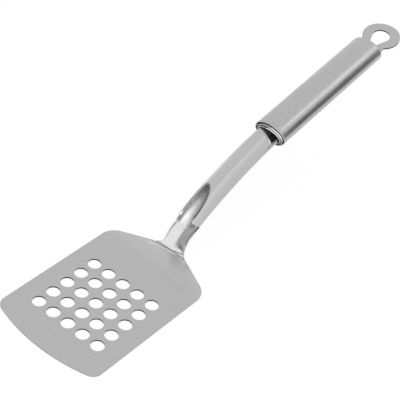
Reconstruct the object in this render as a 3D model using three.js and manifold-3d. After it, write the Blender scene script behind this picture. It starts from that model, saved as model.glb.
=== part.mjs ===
// Perforated turner in stainless steel: a punched sheet blade, a rolled sheet shank that
// opens into a gutter at the blade, and a hollow oval handle with a flat hanging loop.
// Millimetres, +Z up. The blade lies flat, its front edge points along +X, and the part is
// mirror-symmetric about the XZ plane but for the slanting end of the shank's roll at the
// handle. The origin is under the middle of the whole length.

import * as THREE from 'three';
import { mergeVertices } from 'three/addons/utils/BufferGeometryUtils.js';
import Module from 'manifold-3d';

const wasm = await Module();
wasm.setup();

// Sheet and fits
const sheet = 1;
const weldGap = 0.3;
const fitGap = 0.35;

// Blade, measured from the middle of its hole pattern
const bladeWidth = 80;
const bladeFront = 49.3;
const bladeRear = 68;
const frontCrownRadius = 122;
const frontCornerRadius = 7;
const shoulderStart = 48.2;
const shoulderRadius = 12;
const shoulderSlope = THREE.MathUtils.degToRad(26.6);

// Hole pattern
const holePitch = 12;
const holeDiameter = 8.7;
const holesAlong = 5;
const holesAcross = 5;

// Shank: the line of its underside leaves the blade in a bend and rises into the handle
const rootBendRadius = 3;
const neckAngle = THREE.MathUtils.degToRad(45);
const neckReach = 24.9;
const gripReach = 30.2;
const shankWidth = 17;
const shankDepth = 4.6;
const shankCrown = 3.4;
const rootFlareRadius = 8;
const depthRun = 14;
const gutterTurn = 0.88;
const gripFullness = 0.55;
const hoodFullness = 0.3;
const hoodFall = 11.8;
const tangLength = 22;

// Trim of the rolled shank: a curved cut opens the hood, a notch bares the tang
const hoodTip = 63.6;
const hoodCutAngle = THREE.MathUtils.degToRad(65);
const hoodDip = 7.2;
const flapAt = 21.3;
const flapHeight = 11;
const flapLean = 2.2;
const flapRound = 2;
const flapRun = 2;
const rimTrim = 0.05;
const notchNearReach = 9;
const notchFarReach = 1.5;
const notchRim = 0.9;

// Handle: its mouth is placed from the blade's rear edge and middle plane
const handleBack = 93.8;
const handleRise = 49.5;
const handlePitch = THREE.MathUtils.degToRad(11.3);
const handleWidth = 24.4;
const handleHeight = 16;
const handleLength = 115.7;
const handleWall = 0.9;
const rearRimRadius = 2.4;

// Caps of the handle
const lipLength = 1.9;
const lipEdgeRadius = 0.8;
const mouthFlare = 0.7;
const spigotLength = 7;
const rearPlateThickness = 1.5;

// Hanging loop
const loopDiameter = 27.4;
const loopReach = 16;
const eyeDiameter = 12.8;
const eyeNoseDiameter = 5.2;
const eyeLength = 20.7;
const tailWidth = 18;
const tailLength = 10;

// Facets
const ovalSegments = 48;
const arcSegments = 12;
const bendStep = 0.4;
const rootStep = 1.3;
const shankStep = 2.6;
const tangStep = 5.5;
const gutterPoints = 7;
const archPoints = 8;

const metal = (color, roughness) => new THREE.MeshStandardMaterial({ color, roughness, metalness: 1 });
const brushedSteel = metal(0xb4b4b4, 0.42);
const polishedSteel = metal(0xc6c6c6, 0.16);
const satinSteel = metal(0xbababa, 0.3);

// Solids for cuts

function toSolid(geometry) {
  const bare = geometry.index ? geometry.toNonIndexed() : geometry.clone();
  bare.deleteAttribute('normal');
  bare.deleteAttribute('uv');
  const merged = mergeVertices(bare, 1e-4);
  const corners = merged.index.array;
  const triangles = [];
  for (let i = 0; i < corners.length; i += 3) {
    const [a, b, c] = corners.slice(i, i + 3);
    if (a !== b && b !== c && c !== a) triangles.push(a, b, c);
  }
  const mesh = new wasm.Mesh({
    numProp: 3,
    vertProperties: new Float32Array(merged.attributes.position.array),
    triVerts: new Uint32Array(triangles),
  });
  return new wasm.Manifold(mesh);
}

function toGeometry(solid) {
  const mesh = solid.getMesh();
  const geometry = new THREE.BufferGeometry();
  geometry.setAttribute('position', new THREE.BufferAttribute(mesh.vertProperties, 3));
  geometry.setIndex(new THREE.BufferAttribute(mesh.triVerts, 1));
  geometry.computeVertexNormals();
  return geometry;
}

// A closed body through oval rings on the local X axis, each ring { at, width, height }
function ovalLoft(rings) {
  const positions = [];
  const index = [];
  for (const ring of rings) {
    for (let i = 0; i < ovalSegments; i += 1) {
      const angle = (2 * Math.PI * i) / ovalSegments;
      positions.push(ring.at, (ring.width / 2) * Math.cos(angle), (ring.height / 2) * Math.sin(angle));
    }
  }
  for (let r = 0; r + 1 < rings.length; r += 1) {
    for (let i = 0; i < ovalSegments; i += 1) {
      const next = (i + 1) % ovalSegments;
      const [a, b] = [r * ovalSegments + i, r * ovalSegments + next];
      const [c, d] = [a + ovalSegments, b + ovalSegments];
      index.push(a, b, d, a, d, c);
    }
  }
  const first = positions.length / 3;
  positions.push(rings[0].at, 0, 0, rings.at(-1).at, 0, 0);
  const lastRing = (rings.length - 1) * ovalSegments;
  for (let i = 0; i < ovalSegments; i += 1) {
    const next = (i + 1) % ovalSegments;
    index.push(first, next, i, first + 1, lastRing + i, lastRing + next);
  }
  const geometry = new THREE.BufferGeometry();
  geometry.setAttribute('position', new THREE.Float32BufferAttribute(positions, 3));
  geometry.setIndex(index);
  return geometry;
}

// A ring of the handle's oval, drawn in by an inset all round
const handleRing = (at, inset) => ({
  at,
  width: handleWidth - 2 * inset,
  height: handleHeight - 2 * inset,
});

// A flat sheet with its lower face at height 0
function sheetGeometry(outline, curveSegments) {
  return new THREE.ExtrudeGeometry(outline, { depth: sheet, bevelEnabled: false, curveSegments });
}

// Blade

const shoulderNormal = new THREE.Vector2(-Math.cos(shoulderSlope), Math.sin(shoulderSlope));
const shoulderCentre = new THREE.Vector2(-shoulderStart, bladeWidth / 2 - shoulderRadius);
const shoulderFoot = shoulderCentre.clone().addScaledVector(shoulderNormal, shoulderRadius);

// Half-width of the slanting rear edge at a distance behind the hole pattern
const rearEdgeHalfWidth = (behind) => shoulderFoot.y - (behind + shoulderFoot.x) / Math.tan(shoulderSlope);

function bladeGeometry() {
  const crownCentre = bladeFront - frontCrownRadius;
  const cornerY = bladeWidth / 2 - frontCornerRadius;
  const cornerReach = frontCrownRadius - frontCornerRadius;
  const cornerX = crownCentre + Math.sqrt(cornerReach ** 2 - cornerY ** 2);
  const cornerAngle = Math.atan2(cornerY, cornerX - crownCentre);
  const shoulderAngle = shoulderNormal.angle();
  const rearHalfWidth = rearEdgeHalfWidth(bladeRear);

  const outline = new THREE.Shape();
  outline.absarc(crownCentre, 0, frontCrownRadius, -cornerAngle, cornerAngle, false);
  outline.absarc(cornerX, cornerY, frontCornerRadius, cornerAngle, Math.PI / 2, false);
  outline.absarc(shoulderCentre.x, shoulderCentre.y, shoulderRadius, Math.PI / 2, shoulderAngle, false);
  outline.lineTo(-bladeRear, rearHalfWidth);
  outline.lineTo(-bladeRear, -rearHalfWidth);
  outline.absarc(shoulderCentre.x, -shoulderCentre.y, shoulderRadius, -shoulderAngle, -Math.PI / 2, false);
  outline.absarc(cornerX, -cornerY, frontCornerRadius, -Math.PI / 2, -cornerAngle, false);

  for (let i = 0; i < holesAlong; i += 1) {
    for (let j = 0; j < holesAcross; j += 1) {
      const x = (i - (holesAlong - 1) / 2) * holePitch;
      const y = (j - (holesAcross - 1) / 2) * holePitch;
      const hole = new THREE.Path();
      hole.absarc(x, y, holeDiameter / 2, 0, 2 * Math.PI, true);
      outline.holes.push(hole);
    }
  }
  return sheetGeometry(outline, arcSegments);
}

// Shank

// Side view, as (x, z): the handle's axis and the line of the shank's underside
const axisDirection = new THREE.Vector2(-Math.cos(handlePitch), Math.sin(handlePitch));
const axisUp = new THREE.Vector2(Math.sin(handlePitch), Math.cos(handlePitch));
const mouth = new THREE.Vector2(-bladeRear - handleBack, sheet / 2 + handleRise);
const gripFoot = mouth.clone().addScaledVector(axisUp, -shankDepth);
const crownPoint = mouth.clone().addScaledVector(axisUp, shankCrown);
const hoodTipPoint = crownPoint.clone().addScaledVector(axisDirection, -hoodTip);

function shankPath() {
  const start = new THREE.Vector2(-bladeRear - weldGap, sheet / 2);
  const bendCentre = new THREE.Vector2(start.x, start.y + rootBendRadius);
  const bendEnd = new THREE.Vector2(
    bendCentre.x - rootBendRadius * Math.sin(neckAngle),
    bendCentre.y - rootBendRadius * Math.cos(neckAngle),
  );
  const rise = new THREE.Vector2(-Math.cos(neckAngle), Math.sin(neckAngle));
  const leave = bendEnd.clone().addScaledVector(rise, neckReach);
  const arrive = gripFoot.clone().addScaledVector(axisDirection, -gripReach);
  const tangEnd = gripFoot.clone().addScaledVector(axisDirection, tangLength);

  const path = new THREE.Path();
  path.absarc(bendCentre.x, bendCentre.y, rootBendRadius, -Math.PI / 2, -Math.PI / 2 - neckAngle, true);
  path.bezierCurveTo(leave.x, leave.y, arrive.x, arrive.y, gripFoot.x, gripFoot.y);
  path.lineTo(tangEnd.x, tangEnd.y);
  return path;
}

// Height above a point, along a direction, of a straight line in the side view
function heightToLine(point, up, linePoint, lineDirection) {
  const normal = new THREE.Vector2(-lineDirection.y, lineDirection.x);
  return linePoint.clone().sub(point).dot(normal) / up.dot(normal);
}

// Half-width of the sheet at a distance along the shank: the blade's rear edge runs on,
// then turns into the straight side in an arc
function shankHalfWidth(along) {
  const straight = (shankWidth - sheet) / 2;
  const arcCentre = straight + rootFlareRadius;
  const startWidth = rearEdgeHalfWidth(bladeRear + weldGap);
  const touchWidth = arcCentre - rootFlareRadius * Math.sin(shoulderSlope);
  const touchAlong = (startWidth - touchWidth) * Math.tan(shoulderSlope);
  const arcEnd = touchAlong + rootFlareRadius * Math.cos(shoulderSlope);
  if (along < touchAlong) return startWidth - along / Math.tan(shoulderSlope);
  if (along > arcEnd) return straight;
  return arcCentre - Math.sqrt(rootFlareRadius ** 2 - (arcEnd - along) ** 2);
}

// One half of the section, in the middle of the sheet: turn 0 is the underside, 1 the widest
// point and 2 the crown. The lower half is an ellipse, the upper half an arch.
function sectionPoint({ halfWidth, depth, crown, fullness }, turn) {
  if (turn <= 1) {
    const angle = (turn * Math.PI) / 2;
    return new THREE.Vector2(halfWidth * Math.sin(angle), depth * (1 - Math.cos(angle)));
  }
  const t = turn - 1;
  const u = 1 - t;
  const across = halfWidth * (u ** 3 + 3 * u * u * t + 3 * fullness * u * t * t);
  const height = crown * (3 * fullness * u * u * t + 3 * u * t * t + t ** 3);
  return new THREE.Vector2(across, depth + height);
}

function sectionNormal(section, turn) {
  if (turn === 2) return new THREE.Vector2(0, 1);
  const step = 1e-3;
  const ahead = sectionPoint(section, turn + step);
  const behind = sectionPoint(section, Math.max(turn - step, 0));
  const tangent = ahead.sub(behind).normalize();
  return new THREE.Vector2(tangent.y, -tangent.x);
}

const shankLine = shankPath();
const shankLength = shankLine.getLength();

// Point and upward direction of the shank's underside at a distance along it
function shankFrame(along) {
  const tangent = shankLine.getTangent(along / shankLength);
  return { point: shankLine.getPoint(along / shankLength), up: new THREE.Vector2(tangent.y, -tangent.x) };
}

// Where along the shank its square section passes through a point of the side view
function placeThrough(target) {
  let [low, high] = [0, shankLength - tangLength];
  for (let i = 0; i < 40; i += 1) {
    const middle = (low + high) / 2;
    const ahead = target.clone().sub(shankLine.getPoint(middle / shankLength));
    if (ahead.dot(shankLine.getTangent(middle / shankLength)) > 0) low = middle;
    else high = middle;
  }
  return low;
}

// Places from one distance up to another, about a step apart
function evenly(from, to, step) {
  const count = Math.round((to - from) / step);
  return Array.from({ length: count }, (unused, i) => from + (i * (to - from)) / count);
}

// Sections from the blade to the end of the tang. The crown runs straight along the handle
// as far as the tip of the hood and falls away below it.
function shankStations() {
  const { lerp, smoothstep } = THREE.MathUtils;
  const tipAt = placeThrough(hoodTipPoint);
  const rollAt = flapAt - flapRun;
  const bendLength = rootBendRadius * neckAngle;
  const mouthAt = shankLength - tangLength;
  const spaced = [
    ...evenly(0, bendLength, bendStep),
    ...evenly(bendLength, depthRun, rootStep),
    ...evenly(depthRun, mouthAt, shankStep),
    ...evenly(mouthAt, shankLength, tangStep),
    shankLength,
  ];
  const clear = spaced.filter((at) => Math.abs(at - rollAt) > flapRun);
  const straightCrown = (along) => {
    const { point, up } = shankFrame(along);
    return heightToLine(point, up, crownPoint, axisDirection) - shankDepth;
  };
  return [...clear, rollAt - flapRun / 4, rollAt + flapRun / 4].sort((a, b) => a - b).map((along) => {
    const below = Math.max(tipAt - along, 0) / tipAt;
    const crown = below > 0 ? straightCrown(tipAt) - hoodFall * below ** 2 : straightCrown(along);
    const depth = shankDepth * smoothstep(along, bendLength, depthRun);
    const fullness = lerp(hoodFullness, gripFullness, smoothstep(along, tipAt, mouthAt));
    const rimShare = Math.sin((gutterTurn * Math.PI) / 2);
    const halfWidth = shankHalfWidth(along) * lerp(1 / rimShare, 1, smoothstep(along, 0, depthRun));
    const closed = along > rollAt;
    return { ...shankFrame(along), section: { halfWidth, depth, crown, fullness }, closed };
  });
}

// Turns of one half section, with the same lines through the gutter all along the shank
function sectionTurns(closed) {
  const reach = closed ? 2 : gutterTurn;
  const gutter = Array.from({ length: gutterPoints + 1 }, (unused, i) => (i * gutterTurn) / gutterPoints);
  const arch = Array.from({ length: archPoints }, (unused, i) => (
    i + 1 === archPoints ? reach : gutterTurn + ((i + 1) * (reach - gutterTurn)) / archPoints
  ));
  return [...gutter, ...arch];
}

// The rolled sheet: outer and inner faces through every station, with a rim along each edge
// of the open gutter and an end face at both ends
function rolledSheetGeometry() {
  const stations = shankStations();
  const half = gutterPoints + archPoints;
  const perFace = 2 * half + 1;
  const positions = [];
  for (const { point, up, section, closed } of stations) {
    const turns = sectionTurns(closed);
    for (const face of [1, -1]) {
      for (let j = -half; j <= half; j += 1) {
        const turn = turns[Math.abs(j)];
        const offset = sectionNormal(section, turn).multiplyScalar((face * sheet) / 2);
        const { x: across, y: height } = sectionPoint(section, turn).add(offset);
        positions.push(point.x + up.x * height, Math.sign(j) * across, point.y + up.y * height);
      }
    }
  }
  const index = [];
  const quad = (a, b, c, d) => index.push(a, b, c, a, c, d);
  const outer = (i, j) => 2 * i * perFace + j;
  const inner = (i, j) => outer(i, j) + perFace;
  const last = stations.length - 1;
  const edge = perFace - 1;
  for (let i = 0; i < last; i += 1) {
    for (let j = 0; j < edge; j += 1) {
      quad(outer(i, j), outer(i + 1, j), outer(i + 1, j + 1), outer(i, j + 1));
      quad(inner(i, j), inner(i, j + 1), inner(i + 1, j + 1), inner(i + 1, j));
    }
    if (!stations[i].closed) {
      quad(outer(i, 0), inner(i, 0), inner(i + 1, 0), outer(i + 1, 0));
      quad(outer(i, edge), outer(i + 1, edge), inner(i + 1, edge), inner(i, edge));
    }
  }
  for (let j = 0; j < edge; j += 1) {
    quad(outer(0, j), outer(0, j + 1), inner(0, j + 1), inner(0, j));
    quad(outer(last, j), inner(last, j), inner(last, j + 1), outer(last, j + 1));
  }
  const geometry = new THREE.BufferGeometry();
  geometry.setAttribute('position', new THREE.Float32BufferAttribute(positions, 3));
  geometry.setIndex(index);
  return geometry;
}

// Cut that opens the hood, drawn in the side view and extruded across the shank: it dips from
// the tip to the flap, turns down to the gutter's rim and leaves the gutter open
function hoodCutGeometry() {
  const steep = new THREE.Vector2(Math.cos(hoodCutAngle), -Math.sin(hoodCutAngle));
  const away = new THREE.Vector2(Math.sin(hoodCutAngle), Math.cos(hoodCutAngle));
  const reach = 2 * bladeWidth;
  const rimHeight = shankDepth * (1 - Math.cos((gutterTurn * Math.PI) / 2)) - rimTrim;
  const above = (along, height) => {
    const { point, up } = shankFrame(along);
    return point.addScaledVector(up, height);
  };
  const rollStart = flapAt - 2 * flapRun;
  const dip = hoodTipPoint.clone().addScaledVector(steep, hoodDip);
  const corner = above(flapAt, flapHeight);
  const foot = above(flapAt + flapLean, rimHeight);
  const roundStart = dip.clone().sub(corner).setLength(flapRound).add(corner);
  const roundEnd = foot.clone().sub(corner).setLength(flapRound).add(corner);
  const upperEnd = hoodTipPoint.clone().addScaledVector(steep, -reach);

  const outline = new THREE.Shape();
  outline.moveTo(upperEnd.x, upperEnd.y);
  outline.lineTo(hoodTipPoint.x, hoodTipPoint.y);
  outline.quadraticCurveTo(dip.x, dip.y, roundStart.x, roundStart.y);
  outline.quadraticCurveTo(corner.x, corner.y, roundEnd.x, roundEnd.y);
  for (const { x, y } of [
    foot,
    above(rollStart, rimHeight),
    above(rollStart, reach),
    upperEnd.clone().addScaledVector(away, reach),
  ]) outline.lineTo(x, y);
  const block = new THREE.ExtrudeGeometry(outline, {
    depth: bladeWidth,
    bevelEnabled: false,
    curveSegments: arcSegments,
  });
  return block.translate(0, 0, -bladeWidth / 2).rotateX(Math.PI / 2);
}

// Slanting cut that bares the tang inside the handle's mouth: it takes the top off the roll
// down to a rim just above the widest line
function tangNotchGeometry() {
  const end = 2 * tangLength;
  const outline = new THREE.Shape();
  outline.moveTo(-notchFarReach, shankWidth / 2);
  outline.lineTo(-notchNearReach, -shankWidth / 2);
  outline.lineTo(-notchNearReach, -shankWidth);
  outline.lineTo(end, -shankWidth);
  outline.lineTo(end, shankWidth);
  outline.lineTo(-notchFarReach, shankWidth);
  const block = new THREE.ExtrudeGeometry(outline, { depth: 2 * shankWidth, bevelEnabled: false });
  block.translate(0, 0, notchRim);
  return block.rotateZ(Math.PI).rotateY(handlePitch).translate(mouth.x, 0, mouth.y);
}

function shankGeometry() {
  const rolled = toSolid(rolledSheetGeometry());
  return toGeometry(rolled.subtract(toSolid(hoodCutGeometry())).subtract(toSolid(tangNotchGeometry())));
}

// Handle, in its own frame: X runs from the mouth to the rear, Z is up

// Rings round a rolled rim of a radius, ending at a place along the handle
function rimRings(end, radius, inset) {
  const steps = 5;
  return Array.from({ length: steps + 1 }, (unused, i) => {
    const angle = (i / steps) * (Math.PI / 2);
    return handleRing(end - radius + radius * Math.sin(angle), inset + radius * (1 - Math.cos(angle)));
  });
}

function handleTubeGeometry() {
  const front = lipLength + weldGap;
  const overrun = 2;
  const innerRadius = rearRimRadius - handleWall;
  const outer = ovalLoft([handleRing(front, 0), ...rimRings(handleLength, rearRimRadius, 0)]);
  const mouthRing = handleRing(front - overrun, handleWall);
  const rearMouth = handleRing(handleLength + overrun, rearRimRadius);
  const rearRings = rimRings(handleLength - handleWall, innerRadius, handleWall);
  const bore = ovalLoft([mouthRing, ...rearRings, rearMouth]);
  return toGeometry(toSolid(outer).subtract(toSolid(bore)));
}

function frontCapGeometry() {
  const spigotInset = handleWall + fitGap;
  const spigotEnd = lipLength + spigotLength;
  const overrun = 2;
  const bodyRings = [
    handleRing(0, lipEdgeRadius),
    handleRing(lipEdgeRadius * 0.3, lipEdgeRadius * 0.3),
    handleRing(lipEdgeRadius, 0),
    handleRing(lipLength, 0),
    handleRing(lipLength, spigotInset),
    handleRing(spigotEnd, spigotInset),
  ];
  const boreWidth = shankWidth + 2 * fitGap;
  const boreHeight = 2 * (shankDepth + sheet / 2 + fitGap);
  const boreRing = (at, grow) => ({ at, width: boreWidth + 2 * grow, height: boreHeight + 2 * grow });
  const boreRings = [
    boreRing(-overrun, mouthFlare),
    boreRing(0, mouthFlare),
    boreRing(mouthFlare * 0.3, mouthFlare * 0.3),
    boreRing(mouthFlare, 0),
    boreRing(spigotEnd + overrun, 0),
  ];
  return toGeometry(toSolid(ovalLoft(bodyRings)).subtract(toSolid(ovalLoft(boreRings))));
}

const rearPlateFace = handleLength - rearRimRadius + (rearRimRadius - handleWall) / 2 - weldGap / 2;

function rearPlateGeometry() {
  const inset = handleWall + fitGap;
  const back = handleRing(rearPlateFace - rearPlateThickness, inset);
  const plate = ovalLoft([back, handleRing(rearPlateFace, inset)]);
  const slot = new THREE.BoxGeometry(4 * rearPlateThickness, tailWidth + 2 * fitGap, sheet + 2 * fitGap);
  slot.translate(rearPlateFace, 0, 0);
  return toGeometry(toSolid(plate).subtract(toSolid(slot)));
}

// Flat plate in the handle's middle plane: a round eye with a tail that enters the handle
function hangingLoopGeometry() {
  const centre = handleLength + loopReach;
  const radius = loopDiameter / 2;
  const tailAngle = Math.PI - Math.asin(tailWidth / 2 / radius);
  const tailEnd = rearPlateFace - tailLength;
  const outline = new THREE.Shape();
  outline.absarc(centre, 0, radius, -tailAngle, tailAngle, false);
  outline.lineTo(tailEnd, tailWidth / 2);
  outline.lineTo(tailEnd, -tailWidth / 2);

  const eyeRadius = eyeDiameter / 2;
  const noseRadius = eyeNoseDiameter / 2;
  const noseCentre = centre - eyeLength + eyeRadius + noseRadius;
  const turn = Math.acos((eyeRadius - noseRadius) / (centre - noseCentre));
  const eye = new THREE.Path();
  eye.absarc(centre, 0, eyeRadius, turn - Math.PI, Math.PI - turn, false);
  eye.absarc(noseCentre, 0, noseRadius, Math.PI - turn, Math.PI + turn, false);
  outline.holes.push(eye);

  return sheetGeometry(outline, 2 * arcSegments).translate(0, 0, -sheet / 2);
}

// Assembly

function part(name, geometry, material) {
  const mesh = new THREE.Mesh(geometry, material);
  mesh.name = name;
  return mesh;
}

const handle = new THREE.Group();
handle.add(part('front_cap', frontCapGeometry(), polishedSteel));
handle.add(part('handle_tube', handleTubeGeometry(), satinSteel));
handle.add(part('rear_plate', rearPlateGeometry(), satinSteel));
handle.add(part('hanging_loop', hangingLoopGeometry(), brushedSteel));
handle.position.set(mouth.x, 0, mouth.y);
handle.rotation.set(0, handlePitch, Math.PI);

const turner = new THREE.Group();
turner.add(part('blade', bladeGeometry(), brushedSteel));
turner.add(part('shank', shankGeometry(), polishedSteel));
turner.add(handle);

// Set the origin under the middle of the length
const box = new THREE.Box3().setFromObject(turner, true);
turner.position.x = -(box.min.x + box.max.x) / 2;
turner.updateMatrixWorld(true);

export default turner;
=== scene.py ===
"""Perforated stainless turner on a white floor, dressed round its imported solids."""
import math

import bpy
from mathutils import Matrix, Vector

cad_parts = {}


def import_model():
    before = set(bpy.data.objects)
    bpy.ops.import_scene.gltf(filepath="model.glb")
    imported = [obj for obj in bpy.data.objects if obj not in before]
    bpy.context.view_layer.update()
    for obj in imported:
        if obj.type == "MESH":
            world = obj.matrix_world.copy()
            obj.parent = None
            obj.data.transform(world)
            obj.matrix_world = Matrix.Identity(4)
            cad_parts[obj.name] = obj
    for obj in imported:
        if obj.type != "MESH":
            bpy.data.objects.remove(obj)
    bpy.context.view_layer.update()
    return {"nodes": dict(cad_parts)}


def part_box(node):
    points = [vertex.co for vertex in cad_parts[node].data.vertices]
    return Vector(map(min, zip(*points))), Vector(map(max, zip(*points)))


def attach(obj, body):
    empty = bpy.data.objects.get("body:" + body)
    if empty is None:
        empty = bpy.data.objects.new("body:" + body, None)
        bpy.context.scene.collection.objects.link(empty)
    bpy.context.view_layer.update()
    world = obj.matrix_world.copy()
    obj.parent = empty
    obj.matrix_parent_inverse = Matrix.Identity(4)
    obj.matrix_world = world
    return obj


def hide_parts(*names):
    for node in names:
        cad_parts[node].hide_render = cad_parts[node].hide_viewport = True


# Lengths are in metres in the part's frame: x runs forward to the blade, y to the near side and
# z up. A pair of places marks where a change begins and where it ends.

# Camera: its place, its axes, its lens and sensor in millimetres, and how near and far it sees
CAMERA_PLACE = (0.5048, 0.2967, 0.4947)
CAMERA_RIGHT = (-0.629, 0.763, 0.149)
CAMERA_FORWARD = (-0.649, -0.410, -0.641)
CAMERA_LENS = 102.12
CAMERA_SENSOR = 36.0
CAMERA_CLIP = (0.01, 100.0)

# Finishes of the steel: its reflectance, its roughness, how much the grain shades it, and how
# strong the relief of the grain is
SATIN_TONE = 0.457
POLISHED_TONE = 0.49
SATIN = (SATIN_TONE, 0.22, 0.03, 0.1)
LOOP = (SATIN_TONE, 0.3, 0.03, 0.1)
POLISHED = (POLISHED_TONE, 0.1, 0.02, 0.04)
INSIDE = (POLISHED_TONE, 0.12, 0.02, 0.04)
BRUSHED = (0.445, 0.26, 0.05, 0.2)
# The cut finish is dark partly as the dull cut edge of the sheet and partly as painted shade
CUT_AND_SHADE = (0.14, 0.5, 0.1, 0.1)
# The recess finish is painted shade, nearly black, in the hollows of the mouth ring
RECESS_SHADE = (0.03, 0.5, 0.1, 0.1)

# Grain: how fine it is forward, across and up, its detail, the range of the noise that shows,
# and its depth
EVEN_GRAIN = (900, 900, 900)
DRAWN_GRAIN = (60, 900, 900)
BRUSHED_GRAIN = (30, 1400, 1400)
BEAD_GRAIN = (300, 900, 900)
GRAIN_DETAIL = 4.0
GRAIN_RANGE = (0.3, 0.7)
GRAIN_DEPTH = 0.00002

# Patches of roughness, as handling leaves: their fineness, their detail, the range of the noise
# that shows, and how much rougher or smoother they are
PATCH_SCALE = 45.0
PATCH_DETAIL = 3.0
PATCH_RANGE = (0.35, 0.65)
PATCH_SPREAD = 0.1

# Edges of plates, dark partly as the dull punched cut and partly as painted shade where the hole
# walls fall in shadow: the shares of the tone that a punched edge and the ground outer edge of the
# blade keep, how squarely a surface faces out of its plate at an edge and on a face, and how far
# from the middle of the holes the outer edge takes over
EDGE_SHADE_SHARE = 0.07
GROUND_SHADE_SHARE = 0.85
EDGE_FACING = (0.4, 0.9)
HOLES_REACH = (0.031, 0.034)

# Painted shade on the crease where the polished gutter ends, a dark line where the tight bend
# would fall in shade: its place in the middle, its slant across the root, half its width, how dark
# it is, and where it fades out to the sides
CREASE_PLACE = 0.0580
CREASE_SLANT = 0.159
CREASE_HALF = 0.0005
CREASE_SHADE_DEPTH = 0.75
CREASE_ENDS = (0.0135, 0.0155)

# Painted light and shade on the strip of the shank in front of the crease: its change of tone on
# the far and on the near side, and where one turns into the other
FLAT_SHADE_CHANGE = (0.2, -0.28)
FLAT_SIDES = (-0.006, 0.008)

# Painted highlight in front of the crease, as far as an arc, where the start of the bend would
# catch the light: the arc's place, its middle, its curve and its soft edge, the gain, and where it
# fades out to the sides
HALO_FRONT = 0.0600
HALO_MIDDLE = 0.002
HALO_CURVE = 15.0
HALO_EDGE = (-0.0002, 0.0006)
HALO_GAIN = 0.22
HALO_ENDS = (0.013, 0.017)

# Painted highlight in a band along the upper near side of the shank, where an edge of reflected
# light falls: its offset from the middle, its slant, its soft edge, how the band beside it fades
# out, how much brighter that band is, and how far up a surface faces where it shows
LINE_OFFSET = 0.0024
LINE_SLANT = 0.065
LINE_EDGE = (-0.0001, 0.0003)
LINE_BAND = (0.0, 0.004)
LINE_GAIN = 0.2
LINE_UPWARD = (0.0, 0.3)

# Matte ends of two finishes: where each is dullest and where it ends, the share of metal at the
# dull end, and how much rougher it is there
MATTE_INSIDE = ((0.030, 0.051), 0.35, 3.5)
MATTE_BLADE = ((0.062, 0.082), 0.3, 1.0)

# Painted light and shade inside the shank: the gains in the tang and in the hood, where the first
# turns into the second and where the second ends, then the loss on the near side of the hood as
# painted shade under the flap, where it sets in across the hood and where it ends along it
TANG_GAIN = 0.7
HOOD_GAIN = 2.0
HOOD_START = (0.0, 0.024)
HOOD_END = (0.038, 0.046)
NEAR_SHADE_LOSS = 0.7
NEAR_SIDE = (-0.0055, 0.001)
NEAR_END = (0.037, 0.044)

# Cut rim of the shank, dark partly as the dull cut and partly as painted shade round the hood, and
# lighter as painted light behind and in front of it and on its far side: the gain behind the hood
# and in front of it, where these end and begin, and the gain on the far side with the place where
# it ends
RIM_GAIN = 2.6
RIM_REAR = (0.006, 0.014)
RIM_FRONT = (0.0445, 0.047)
FAR_RIM_GAIN = 2.4
FAR_RIM_SIDE = (-0.004, 0.0)

# Sorting of the shank's faces. A face is a cut edge where it turns less than RIM_FACING toward or
# away from the middle of the roll, or where it lies along the hood and turns less than HOOD_TURN
# to the side. The last three are the places of the finishes among the shank's materials.
RIM_FACING = 0.3
HOOD_RANGE = (0.012, 0.0475)
HOOD_TURN = 0.01
SHANK_OUTSIDE = 0
SHANK_INSIDE = 1
SHANK_EDGE = 2

# Angle at which smooth shading breaks, and how near two corners are to count as one
SMOOTH_ANGLE = math.radians(38)
MERGE_REACH = 1e-6

# Sizes that the dressing shares with the solids, and the pull that rounds the section of the roll
BLADE_FRONT = 0.0493
BLADE_REAR = 0.068
WELD_GAP = 0.0003
SHEET = 0.001
HANDLE_BACK = 0.0938
HANDLE_RISE = 0.0495
HANDLE_PITCH = math.radians(11.3)
HANDLE_HALF = (0.0122, 0.008)
BORE_HALF_WIDTH = 0.00885
BORE_ABOVE = 0.0042
BORE_BELOW = 0.00545
ROOT_HALF_WIDTH = (0.01526, 0.01466)
BEND_RADIUS = 0.003
NECK_ANGLE = math.radians(45)
NECK_REACH = 0.0249
GRIP_REACH = 0.0302
SHANK_DEPTH = 0.0046
SHANK_HALF_WIDTH = 0.008
SHANK_CROWN = 0.0034
SHANK_ROUNDING = 1.65
TANG_LENGTH = 0.022
NOTCH_REACH = (0.00525, 0.00375)
NOTCH_RIM = 0.0009

# Lip along the notch: its radius, how far it stands above the roll, and its sides
NOTCH_LIP = 0.0006
NOTCH_LIP_RISE = 0.00045
NOTCH_LIP_SIDES = 12

# Steps along the curves: each half of the notch, the bend at the root, and the neck
NOTCH_STEPS = 40
BEND_STEPS = 8
NECK_STEPS = 120

# Profile of the mouth ring, from the end of the tube's wall over two beads into the bore:
# millimetres back from the mouth, and the share of the way from the handle's oval to the bore
COLLAR_PROFILE = ((2.15, 0.0), (0.3, 0.0), (0.1, 0.01), (0.0, 0.03), (0.0, 0.05))
GROOVE_PROFILE = ((1.2, 0.07), (1.2, 0.26), (0.3, 0.34))
BEAD_PROFILE = ((0.0, 0.36), (-0.75, 0.47), (-0.9, 0.5), (-0.88, 0.53), (-0.7, 0.55))
VALLEY_PROFILE = ((-0.1, 0.57), (-0.1, 0.61), (-0.3, 0.63))
LIP_PROFILE = ((-0.85, 0.74), (-1.35, 0.84), (-1.42, 0.88), (-1.3, 0.93), (-0.6, 0.98))
SPIGOT_PROFILE = ((0.3, 1.0), (8.5, 1.0), (8.5, 0.6), (2.15, 0.6))
RING_SEGMENTS = 96
MILLIMETRES = 1000

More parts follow.
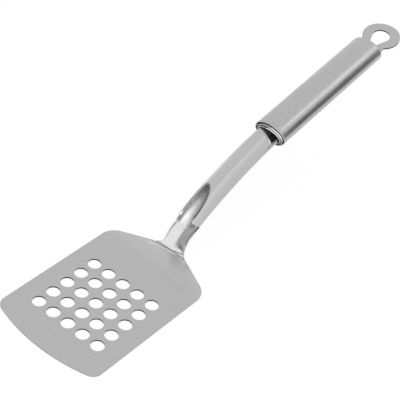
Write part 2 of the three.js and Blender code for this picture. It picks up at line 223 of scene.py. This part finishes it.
# Places of the finishes among the materials of the mouth ring, and the finish of each part of its
# profile. The dark finish is painted shade in the groove, the valley and the bore. The groove is
# painted dark only above a line, which lies GROOVE_LINE of the oval's height up on the far side and
# falls by GROOVE_FALL on the near side.
RING_WALL = 0
RING_BRIGHT = 1
RING_SHADED = 2
RING_PARTS = (
    (COLLAR_PROFILE, RING_WALL),
    (GROOVE_PROFILE, RING_SHADED),
    (BEAD_PROFILE, RING_BRIGHT),
    (VALLEY_PROFILE, RING_SHADED),
    (LIP_PROFILE, RING_BRIGHT),
    (SPIGOT_PROFILE, RING_SHADED),
)
GROOVE_LINE = 0.15
GROOVE_FALL = 0.75

# Light: the level of the studio, and its panels, each as a range of bearings and a range of
# heights in degrees with the light that it adds or takes
STUDIO_LEVEL = 1.0
PANEL_SOFTNESS = 2.0
SOFTBOX = ((-36, 86), (8, 67), 0.58)
DARK_SIDE = ((-102, -37), (-6, 68), -0.31)
DARK_EDGE = ((-51, -38), (-10, 37), -0.32)

# Cards beside the handle: how far behind its mouth each one aims, the bearing and the height in
# degrees, the distance, the length and the width, and the tone
FLAG_CARD = (0.105, (122, 17), 0.3, (0.22, 0.23), 0.19)
STRIP_CARD = (0.1, (140, 58), 0.25, (0.19, 0.06), 1.66)

# Floor: how far it reaches, its height, its paint, and how much of its look is plain white
FLOOR_REACH = 12.0
FLOOR_HEIGHT = -0.0002
FLOOR_PAINT = (0.95, 0.95, 0.95, 1)
FLOOR_GLOW = 0.93
WHITE = (1, 1, 1, 1)
SQUARE = ((-1, -1), (1, -1), (1, 1), (-1, 1))

# Grid on which the nodes of a material are laid out
NODE_COLUMNS = 8
NODE_STEP = (220, 300)


def node(tree, kind, **values):
    """Adds a node in the next place of the grid."""
    made = tree.nodes.new(kind)
    row, column = divmod(len(tree.nodes) - 1, NODE_COLUMNS)
    made.location = (NODE_STEP[0] * column, -NODE_STEP[1] * row)
    for name, value in values.items():
        setattr(made, name, value)
    return made


def new_material(name):
    """An empty material and its tree of nodes."""
    material = bpy.data.materials.new(name)
    material.use_nodes = True
    material.node_tree.nodes.clear()
    return material, material.node_tree


def ranged(tree, source, limits, first, last):
    """Goes smoothly from one value to another while a source passes between two limits."""
    made = node(tree, "ShaderNodeMapRange", interpolation_type="SMOOTHSTEP")
    made.inputs["From Min"].default_value = limits[0]
    made.inputs["From Max"].default_value = limits[1]
    made.inputs["To Min"].default_value = first
    made.inputs["To Max"].default_value = last
    tree.links.new(source, made.inputs["Value"])
    return made.outputs["Result"]


def math_node(tree, operation, *sources):
    """A sum on sockets and plain numbers."""
    made = node(tree, "ShaderNodeMath", operation=operation)
    for socket, source in zip(made.inputs, sources):
        if isinstance(source, (int, float)):
            socket.default_value = source
        else:
            tree.links.new(source, socket)
    return made.outputs["Value"]


def split(tree, source):
    """The three parts of a place or a direction."""
    made = node(tree, "ShaderNodeSeparateXYZ")
    tree.links.new(source, made.inputs[0])
    return made.outputs


def noise(tree, source, scale, detail):
    """Noise over a place."""
    made = node(tree, "ShaderNodeTexNoise")
    made.inputs["Scale"].default_value = scale
    made.inputs["Detail"].default_value = detail
    tree.links.new(source, made.inputs["Vector"])
    return made.outputs["Fac"]


def grey(tree, level):
    """A grey of one level."""
    made = node(tree, "ShaderNodeCombineColor")
    for channel in ("Red", "Green", "Blue"):
        tree.links.new(level, made.inputs[channel])
    return made.outputs["Color"]


def glow(tree, strength):
    """Plain white light."""
    made = node(tree, "ShaderNodeEmission")
    made.inputs["Color"].default_value = WHITE
    made.inputs["Strength"].default_value = strength
    return made.outputs["Emission"]


def mix(tree, share, first, second):
    """Two shaders with a share of the second."""
    made = node(tree, "ShaderNodeMixShader")
    tree.links.new(share, made.inputs["Fac"])
    tree.links.new(first, made.inputs[1])
    tree.links.new(second, made.inputs[2])
    return made.outputs["Shader"]


def blade_middle():
    """Where the middle of the holes lies along the part."""
    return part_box("blade")[1][0] - BLADE_FRONT


def edge_shade_share(tree, source):
    """Share of tone kept under the painted edge shade: low round the holes, high along the ground
    outer edge.
    """
    x, y, _ = split(tree, source)
    off = math_node(tree, "SUBTRACT", x, blade_middle())
    ahead = math_node(tree, "ABSOLUTE", off)
    aside = math_node(tree, "ABSOLUTE", y)
    reach = math_node(tree, "MAXIMUM", ahead, aside)
    return ranged(tree, reach, HOLES_REACH, EDGE_SHADE_SHARE, GROUND_SHADE_SHARE)


def facing_level(tree, pitch):
    """One on the faces of a plate and nothing on its edges."""
    shape = node(tree, "ShaderNodeNewGeometry")
    facing = node(tree, "ShaderNodeVectorMath", operation="DOT_PRODUCT")
    facing.inputs[1].default_value = (math.sin(pitch), 0.0, math.cos(pitch))
    tree.links.new(shape.outputs["Normal"], facing.inputs[0])
    level = math_node(tree, "ABSOLUTE", facing.outputs["Value"])
    return ranged(tree, level, EDGE_FACING, 0.0, 1.0)


def blade_edge_painted_shade(tree, source, pitch):
    """One on the faces of the blade and less on its edges, as the dull cut and painted shade."""
    share = edge_shade_share(tree, source)
    rest = math_node(tree, "SUBTRACT", 1.0, share)
    return math_node(tree, "MULTIPLY_ADD", facing_level(tree, pitch), rest, share)


def edge_painted_shade(tree, source, pitch):
    """One on the faces of a plate and less on its punched edges, as the dull cut and painted shade.
    """
    level = facing_level(tree, pitch)
    return math_node(tree, "MULTIPLY_ADD", level, 1.0 - EDGE_SHADE_SHARE, EDGE_SHADE_SHARE)


def past_crease(tree, x, y):
    """How far forward a point lies, with the slant of the crease taken out."""
    return math_node(tree, "MULTIPLY_ADD", y, CREASE_SLANT, x)


def in_front(tree, past):
    """Nothing behind the crease and one in front of it."""
    return ranged(tree, past, (CREASE_PLACE, CREASE_PLACE + CREASE_HALF), 0.0, 1.0)


def crease_shadow_line(tree, past, aside):
    """How much of its tone the steel loses on the crease, as painted shade."""
    enters = ranged(tree, past, (CREASE_PLACE - CREASE_HALF, CREASE_PLACE), 0.0, CREASE_SHADE_DEPTH)
    leaves = ranged(tree, past, (CREASE_PLACE, CREASE_PLACE + CREASE_HALF), 1.0, 0.0)
    across = math_node(tree, "MULTIPLY", enters, leaves)
    within = ranged(tree, aside, CREASE_ENDS, 1.0, 0.0)
    return math_node(tree, "MULTIPLY", across, within)


def painted_halo_arc(tree, x, y, aside):
    """How much the steel gains behind the front of the arc, as a painted highlight."""
    off = math_node(tree, "SUBTRACT", y, HALO_MIDDLE)
    square = math_node(tree, "MULTIPLY", off, off)
    arc = math_node(tree, "MULTIPLY_ADD", square, HALO_CURVE, HALO_FRONT)
    behind = math_node(tree, "SUBTRACT", arc, x)
    fresh = ranged(tree, behind, HALO_EDGE, 0.0, HALO_GAIN)
    reach = ranged(tree, aside, HALO_ENDS, 1.0, 0.0)
    return math_node(tree, "MULTIPLY", fresh, reach)


def painted_crease_and_halo(tree, source, pitch):
    """Painted shade on the crease and a painted highlight on the arc in front of it."""
    x, y, _ = split(tree, source)
    past = past_crease(tree, x, y)
    aside = math_node(tree, "ABSOLUTE", y)
    kept = math_node(tree, "SUBTRACT", 1.0, crease_shadow_line(tree, past, aside))
    halo = painted_halo_arc(tree, x, y, aside)
    return math_node(tree, "MULTIPLY_ADD", halo, in_front(tree, past), kept)


def flat_painted_shade(tree, source, pitch):
    """Painted light on the far side of the strip in front of the crease, painted shade on its near
    side.
    """
    x, y, _ = split(tree, source)
    front = in_front(tree, past_crease(tree, x, y))
    change = ranged(tree, y, FLAT_SIDES, *FLAT_SHADE_CHANGE)
    return math_node(tree, "MULTIPLY_ADD", front, change, 1.0)


def painted_hood_light_and_shade(tree, source, pitch):
    """Painted light on the far side of the hood, painted shade on its near side and in the tang."""
    x, y, _ = split(tree, source)
    low = ranged(tree, x, HOOD_START, TANG_GAIN, HOOD_GAIN)
    high = ranged(tree, x, HOOD_END, 1.0, 1.0 / HOOD_GAIN)
    depth = math_node(tree, "MULTIPLY", low, high)
    side = ranged(tree, y, NEAR_SIDE, 0.0, NEAR_SHADE_LOSS)
    hood = ranged(tree, x, NEAR_END, 1.0, 0.0)
    loss = math_node(tree, "MULTIPLY", side, hood)
    kept = math_node(tree, "SUBTRACT", 1.0, loss)
    return math_node(tree, "MULTIPLY", depth, kept)


def painted_highlight_band(tree, source, pitch):
    """Painted highlight, more than one in a band from a line along the top of the shank, fading
    out.
    """
    x, y, _ = split(tree, source)
    line = math_node(tree, "MULTIPLY_ADD", x, LINE_SLANT, LINE_OFFSET)
    past = math_node(tree, "SUBTRACT", y, line)
    start = ranged(tree, past, LINE_EDGE, 0.0, LINE_GAIN)
    fade = ranged(tree, past, LINE_BAND, 1.0, 0.0)
    band = math_node(tree, "MULTIPLY", start, fade)
    shape = node(tree, "ShaderNodeNewGeometry")
    _, _, upward = split(tree, shape.outputs["Normal"])
    top = ranged(tree, upward, LINE_UPWARD, 0.0, 1.0)
    return math_node(tree, "MULTIPLY_ADD", band, top, 1.0)


def painted_rim_light_and_shade(tree, source, pitch):
    """Painted shade on the cut edge round the hood; painted light by the gutter, the tang and the
    far side.
    """
    x, y, _ = split(tree, source)
    rear = ranged(tree, x, RIM_REAR, RIM_GAIN, 1.0)
    front = ranged(tree, x, RIM_FRONT, 1.0, RIM_GAIN)
    far = ranged(tree, y, FAR_RIM_SIDE, FAR_RIM_GAIN, 1.0)
    ends = math_node(tree, "MULTIPLY", rear, front)
    return math_node(tree, "MULTIPLY", ends, far)


def matte_end(tree, source, rough, shader, matte):
    """Makes one end of a finish rougher and less of a mirror."""
    stretch, metal, factor = matte
    x, _, _ = split(tree, source)
    share = ranged(tree, x, stretch, metal, 1.0)
    tree.links.new(share, shader.inputs["Metallic"])
    rougher = ranged(tree, x, stretch, factor, 1.0)
    return math_node(tree, "MULTIPLY", rough, rougher)


def grain_noise(tree, source, pitch, grain):
    """Drawn lines that run along a piece."""
    turn = node(tree, "ShaderNodeMapping")
    turn.inputs["Rotation"].default_value = (0.0, pitch, 0.0)
    turn.inputs["Scale"].default_value = grain
    tree.links.new(source, turn.inputs["Vector"])
    return noise(tree, turn.outputs["Vector"], 1.0, GRAIN_DETAIL)


def grain_relief(tree, lines, strength):
    """Surface directions that follow the drawn lines."""
    made = node(tree, "ShaderNodeBump")
    made.inputs["Strength"].default_value = strength
    made.inputs["Distance"].default_value = GRAIN_DEPTH
    tree.links.new(lines, made.inputs["Height"])
    return made.outputs["Normal"]


def patchy(tree, source, roughness):
    """A roughness that changes in slow patches."""
    patches = noise(tree, source, PATCH_SCALE, PATCH_DETAIL)
    smoothest = roughness * (1 - PATCH_SPREAD)
    roughest = roughness * (1 + PATCH_SPREAD)
    return ranged(tree, patches, PATCH_RANGE, smoothest, roughest)


def steel(name, finish, grain, pitch=0.0, shades=(), matte=None):
    """Stainless steel with a drawn grain and slow patches of roughness.

    Each shade is a function of the tree, the place on the piece and the pitch of the piece.
    """
    tone, roughness, contrast, relief = finish
    material, tree = new_material(name)
    output = node(tree, "ShaderNodeOutputMaterial")
    shader = node(tree, "ShaderNodeBsdfPrincipled")
    tree.links.new(shader.outputs["BSDF"], output.inputs["Surface"])
    shader.inputs["Metallic"].default_value = 1.0
    place = node(tree, "ShaderNodeTexCoord").outputs["Object"]

    lines = grain_noise(tree, place, pitch, grain)
    level = ranged(tree, lines, GRAIN_RANGE, tone * (1 - contrast), tone * (1 + contrast))
    for shade in shades:
        level = math_node(tree, "MULTIPLY", level, shade(tree, place, pitch))
    tree.links.new(grey(tree, level), shader.inputs["Base Color"])
    tree.links.new(grain_relief(tree, lines, relief), shader.inputs["Normal"])

    rough = patchy(tree, place, roughness)
    if matte:
        rough = matte_end(tree, place, rough, shader, matte)
    tree.links.new(rough, shader.inputs["Roughness"])
    return material


def dress(piece, *materials):
    """Gives a piece its finishes and smooth faces that break at its sharp edges."""
    slots = piece.data.materials
    while len(slots) < len(materials):
        slots.append(None)
    for i, material in enumerate(materials):
        slots[i] = material
    for polygon in piece.data.polygons:
        polygon.use_smooth = True
        if len(materials) == 1:
            polygon.material_index = 0
    weld = piece.modifiers.new("weld", "WELD")
    weld.merge_threshold = MERGE_REACH
    keep = piece.modifiers.new("edges", "EDGE_SPLIT")
    keep.split_angle = SMOOTH_ANGLE


def new_piece(name, corners, faces):
    """An object of its own from corners and faces."""
    mesh = bpy.data.meshes.new(name)
    mesh.from_pydata(corners, [], faces)
    piece = bpy.data.objects.new(name, mesh)
    bpy.context.scene.collection.objects.link(piece)
    return piece


def handle_frame():
    """The middle of the handle's mouth and the directions back along it and up from it."""
    mouth = Vector((blade_middle() - BLADE_REAR - HANDLE_BACK, 0.0, SHEET / 2 + HANDLE_RISE))
    back = Vector((-math.cos(HANDLE_PITCH), 0.0, math.sin(HANDLE_PITCH)))
    up = Vector((math.sin(HANDLE_PITCH), 0.0, math.cos(HANDLE_PITCH)))
    return mouth, back, up


def ring_corners(profile):
    """Points of the mouth ring, one oval for each point of its profile."""
    mouth, back, up = handle_frame()
    corners = []
    for behind, share in profile:
        half_width = HANDLE_HALF[0] + share * (BORE_HALF_WIDTH - HANDLE_HALF[0])
        above = HANDLE_HALF[1] + share * (BORE_ABOVE - HANDLE_HALF[1])
        below = HANDLE_HALF[1] + share * (BORE_BELOW - HANDLE_HALF[1])
        for i in range(RING_SEGMENTS):
            angle = 2 * math.pi * i / RING_SEGMENTS
            height = math.sin(angle) * (above if math.sin(angle) > 0 else below)
            across = Vector((0.0, half_width * math.cos(angle), 0.0))
            corners.append(mouth + back * (behind / MILLIMETRES) + across + up * height)
    return corners


def ring_faces(rows, segments, closed):
    """Four-sided faces between neighbouring rows of points."""
    faces = []
    for row in range(rows if closed else rows - 1):
        first = row * segments
        second = (row + 1) % rows * segments
        for i in range(segments):
            beside = (i + 1) % segments
            faces.append((first + i, second + i, second + beside, first + beside))
    return faces


def below_dark(step):
    """Whether a place round the ring lies below the painted shade of its groove."""
    angle = 2 * math.pi * step / RING_SEGMENTS
    return math.sin(angle) < GROOVE_LINE - GROOVE_FALL * max(math.cos(angle), 0.0)


def mouth_ring():
    """Oval end of the handle: the tube's wall, a groove painted dark as shade, a bead and a lip
    round the bore.
    """
    profile = ()
    rows = []
    for points, finish in RING_PARTS:
        profile += points
        rows += [(points, finish)] * len(points)
    faces = ring_faces(len(profile), RING_SEGMENTS, True)
    ring = new_piece("mouth_ring", ring_corners(profile), faces)
    for polygon in ring.data.polygons:
        row, step = divmod(polygon.index, RING_SEGMENTS)
        points, finish = rows[row]
        if points is GROOVE_PROFILE and below_dark(step):
            finish = RING_BRIGHT
        polygon.material_index = finish
    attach(ring, "root")
    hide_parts("front_cap")
    return ring


def notch_edge():
    """Points along the slanting end of the rolled shank, from its near side to its far side."""
    mouth, back, up = handle_frame()
    points = []
    for i in range(-NOTCH_STEPS, NOTCH_STEPS + 1):
        t = 1 - abs(i) / NOTCH_STEPS
        u = 1 - t
        side = -1 if i > 0 else 1
        across = side * SHANK_HALF_WIDTH * (u**3 + 3 * u * u * t + SHANK_ROUNDING * u * t * t)
        height = SHANK_CROWN * (SHANK_ROUNDING * u * u * t + 3 * u * t * t + t**3)
        ahead = NOTCH_REACH[0] + NOTCH_REACH[1] * across / (SHANK_HALF_WIDTH + SHEET / 2)
        if height > NOTCH_RIM:
            rise = up * (height + NOTCH_LIP_RISE)
            points.append(mouth - back * ahead + Vector((0.0, across, 0.0)) + rise)
    return points


def tube_corners(points, radius, sides):
    """Rings of corners round a line of points."""
    corners = []
    for i, point in enumerate(points):
        ahead = points[min(i + 1, len(points) - 1)] - points[max(i - 1, 0)]
        first = ahead.orthogonal().normalized()
        second = ahead.normalized().cross(first)
        for k in range(sides):
            angle = 2 * math.pi * k / sides
            corners.append(point + radius * (math.cos(angle) * first + math.sin(angle) * second))
    return corners


def notch_lip():
    """Rounded lip along the slanting end of the rolled shank."""
    points = notch_edge()
    sides = NOTCH_LIP_SIDES
    faces = ring_faces(len(points), sides, False)
    faces.append(tuple(range(sides)))
    last = (len(points) - 1) * sides
    faces.append(tuple(range(last + sides - 1, last - 1, -1)))
    lip = new_piece("notch_lip", tube_corners(points, NOTCH_LIP, sides), faces)
    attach(lip, "root")
    return lip


def curve_point(guides, t):
    """A point of the smooth curve that four points guide."""
    u = 1 - t
    first, second, third, last = guides
    return u**3 * first + 3 * u * u * t * second + 3 * u * t * t * third + t**3 * last


def shank_underside():
    """Points along the shank's underside in side view, from the root to the end of the tang."""
    mouth, back, up = handle_frame()
    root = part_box("blade")[0][0] - WELD_GAP
    bend = Vector((root, 0.0, SHEET / 2 + BEND_RADIUS))
    foot = mouth - up * SHANK_DEPTH
    rise = Vector((-math.cos(NECK_ANGLE), 0.0, math.sin(NECK_ANGLE)))
    start = bend - BEND_RADIUS * Vector((math.sin(NECK_ANGLE), 0.0, math.cos(NECK_ANGLE)))
    guides = (start, start + rise * NECK_REACH, foot - back * GRIP_REACH, foot)
    points = []
    for i in range(BEND_STEPS):
        angle = NECK_ANGLE * i / BEND_STEPS
        points.append(bend - BEND_RADIUS * Vector((math.sin(angle), 0.0, math.cos(angle))))
    for i in range(NECK_STEPS):
        points.append(curve_point(guides, i / NECK_STEPS))
    return points + [foot, foot + back * TANG_LENGTH]


def shank_line():
    """Points along the middle of the roll in side view."""
    points = shank_underside()
    line = []
    for here, ahead in zip(points, points[1:]):
        run = (ahead - here).normalized()
        line.append(here + Vector((run.z, 0.0, -run.x)) * SHANK_DEPTH)
    return line


def shank_finish(polygon, line):
    """Which finish a face of the shank takes."""
    middle = polygon.center
    level = Vector((middle.x, 0.0, middle.z))
    nearest = min(line, key=lambda point: (point - level).length)
    facing = polygon.normal.dot((nearest - middle).normalized())
    in_hood = HOOD_RANGE[0] < middle.x < HOOD_RANGE[1]
    if abs(facing) < RIM_FACING or (in_hood and abs(polygon.normal.y) < HOOD_TURN):
        return SHANK_EDGE
    return SHANK_INSIDE if facing > 0 else SHANK_OUTSIDE


def sort_shank_faces(shank):
    """Marks the inside of the rolled sheet and its cut edges."""
    line = shank_line()
    for polygon in shank.data.polygons:
        polygon.material_index = shank_finish(polygon, line)


def root_weld():
    """Flush weld that fills the gap between the blade and the shank."""
    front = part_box("blade")[0][0]
    corners = []
    for x, half_width in ((front, ROOT_HALF_WIDTH[0]), (front - WELD_GAP, ROOT_HALF_WIDTH[1])):
        for y in (-half_width, half_width):
            for z in (0.0, SHEET):
                corners.append((x, y, z))
    faces = [(0, 2, 3, 1), (4, 5, 7, 6), (1, 3, 7, 5), (0, 4, 6, 2), (0, 1, 5, 4), (2, 6, 7, 3)]
    weld = new_piece("root_weld", corners, faces)
    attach(weld, "root")
    return weld


def toward(bearing, height):
    """The direction of a bearing and a height in degrees."""
    turn = math.radians(bearing)
    rise = math.radians(height)
    level = math.cos(rise)
    return Vector((level * math.cos(turn), level * math.sin(turn), math.sin(rise)))


def card_corners(aim, bearing, distance, along, size):
    """Corners of a card that faces a point and lies along a direction."""
    out = toward(*bearing)
    along = (along - out * along.dot(out)).normalized()
    across = out.cross(along)
    middle = aim + out * distance
    corners = []
    for step, side in SQUARE:
        corners.append(middle + along * (step * size[0] / 2) + across * (side * size[1] / 2))
    return corners


def card(name, corners, tone):
    """A studio card that shows only in reflections."""
    made = new_piece(name, corners, [(0, 1, 2, 3)])
    material, tree = new_material(name)
    output = node(tree, "ShaderNodeOutputMaterial")
    tree.links.new(glow(tree, tone), output.inputs["Surface"])
    made.data.materials.append(material)
    made.visible_camera = False
    made.visible_diffuse = False
    made.visible_shadow = False


def handle_cards():
    """A dark flag and a bright strip that the handle mirrors."""
    mouth, back, _ = handle_frame()
    for name, settings in (("flag_handle", FLAG_CARD), ("strip_handle", STRIP_CARD)):
        behind, bearing, distance, size, tone = settings
        corners = card_corners(mouth + back * behind, bearing, distance, back, size)
        card(name, corners, tone)


def camera():
    """The camera at its place, turned to its axes."""
    made = bpy.data.objects.new("camera", bpy.data.cameras.new("camera"))
    bpy.context.scene.collection.objects.link(made)
    forward = Vector(CAMERA_FORWARD).normalized()
    right = Vector(CAMERA_RIGHT)
    right = (right - forward * right.dot(forward)).normalized()
    up = right.cross(forward)
    turn = Matrix((right, up, -forward)).transposed().to_4x4()
    made.matrix_world = Matrix.Translation(CAMERA_PLACE) @ turn
    made.data.lens = CAMERA_LENS
    made.data.sensor_width = CAMERA_SENSOR
    made.data.clip_start = CAMERA_CLIP[0]
    made.data.clip_end = CAMERA_CLIP[1]
    bpy.context.scene.camera = made


def seen_directly(tree):
    """One for rays from the camera, a mirror or a clear body, and nothing for the rest."""
    rays = node(tree, "ShaderNodeLightPath").outputs
    seen = math_node(tree, "MAXIMUM", rays["Is Camera Ray"], rays["Is Glossy Ray"])
    return math_node(tree, "MAXIMUM", seen, rays["Is Transmission Ray"])


def floor():
    """A wide painted floor that looks nearly plain white."""
    corners = []
    for x, y in SQUARE:
        corners.append((x * FLOOR_REACH, y * FLOOR_REACH, FLOOR_HEIGHT))
    made = new_piece("floor", corners, [(0, 1, 2, 3)])
    material, tree = new_material("floor_white")
    output = node(tree, "ShaderNodeOutputMaterial")
    paint = node(tree, "ShaderNodeBsdfDiffuse")
    paint.inputs["Color"].default_value = FLOOR_PAINT
    share = math_node(tree, "MULTIPLY", seen_directly(tree), FLOOR_GLOW)
    look = mix(tree, share, paint.outputs["BSDF"], glow(tree, 1.0))
    tree.links.new(look, output.inputs["Surface"])
    made.data.materials.append(material)


def window(tree, source, limits):
    """One between two angles in degrees, with soft ends."""
    low, high = (math.radians(limit) for limit in limits)
    soft = math.radians(PANEL_SOFTNESS)
    opens = ranged(tree, source, (low - soft, low + soft), 0.0, 1.0)
    closes = ranged(tree, source, (high - soft, high + soft), 1.0, 0.0)
    return math_node(tree, "MULTIPLY", opens, closes)


def studio_light(tree):
    """The studio's level with its panels."""
    place = node(tree, "ShaderNodeTexCoord")
    x, y, z = split(tree, place.outputs["Generated"])
    bearing = math_node(tree, "ARCTAN2", y, x)
    height = math_node(tree, "ARCSINE", z)
    level = STUDIO_LEVEL
    for bearings, heights, gain in (SOFTBOX, DARK_SIDE, DARK_EDGE):
        across = window(tree, bearing, bearings)
        upward = window(tree, height, heights)
        panel = math_node(tree, "MULTIPLY", across, upward)
        level = math_node(tree, "MULTIPLY_ADD", panel, gain, level)
    return level


def background(tree):
    """A white background."""
    made = node(tree, "ShaderNodeBackground")
    made.inputs["Color"].default_value = WHITE
    return made


def world():
    """The studio's light for the surfaces and plain white for the camera."""
    made = bpy.data.worlds.new("studio")
    bpy.context.scene.world = made
    made.use_nodes = True
    tree = made.node_tree
    tree.nodes.clear()
    output = node(tree, "ShaderNodeOutputWorld")
    light = background(tree)
    white = background(tree)
    tree.links.new(studio_light(tree), light.inputs["Strength"])
    rays = node(tree, "ShaderNodeLightPath").outputs
    lit = light.outputs["Background"]
    look = mix(tree, rays["Is Camera Ray"], lit, white.outputs["Background"])
    tree.links.new(look, output.inputs["Surface"])


def dress_pieces(nodes):
    """Makes the finishes and the added pieces, and dresses every piece."""
    blade_shades = (blade_edge_painted_shade, painted_crease_and_halo)
    inside_shades = (painted_crease_and_halo, flat_painted_shade, painted_hood_light_and_shade)
    satin = steel("satin_steel", SATIN, EVEN_GRAIN, shades=blade_shades, matte=MATTE_BLADE)
    loop = steel("loop_steel", LOOP, EVEN_GRAIN, HANDLE_PITCH, shades=(edge_painted_shade,))
    polished = steel("polished_steel", POLISHED, DRAWN_GRAIN, shades=(painted_highlight_band,))
    inside = steel("inside_steel", INSIDE, DRAWN_GRAIN, shades=inside_shades, matte=MATTE_INSIDE)
    cut_and_shade = steel("cut_steel_and_shade", CUT_AND_SHADE, EVEN_GRAIN, shades=(painted_rim_light_and_shade,))
    brushed = steel("brushed_steel", BRUSHED, BRUSHED_GRAIN, HANDLE_PITCH)
    bright = steel("bright_steel", POLISHED, BEAD_GRAIN)
    recess_shade = steel("recess_painted_shade", RECESS_SHADE, EVEN_GRAIN)
    sort_shank_faces(nodes["shank"])
    dress(nodes["blade"], satin)
    dress(nodes["hanging_loop"], loop)
    dress(nodes["shank"], polished, inside, cut_and_shade)
    dress(nodes["handle_tube"], brushed)
    dress(nodes["rear_plate"], brushed)
    dress(mouth_ring(), brushed, bright, recess_shade)
    dress(notch_lip(), bright)
    dress(root_weld(), satin)


def main():
    """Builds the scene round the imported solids."""
    scene = bpy.context.scene
    scene.view_settings.view_transform = "Standard"
    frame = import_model()
    camera()
    floor()
    world()
    handle_cards()
    dress_pieces(frame["nodes"])


main()
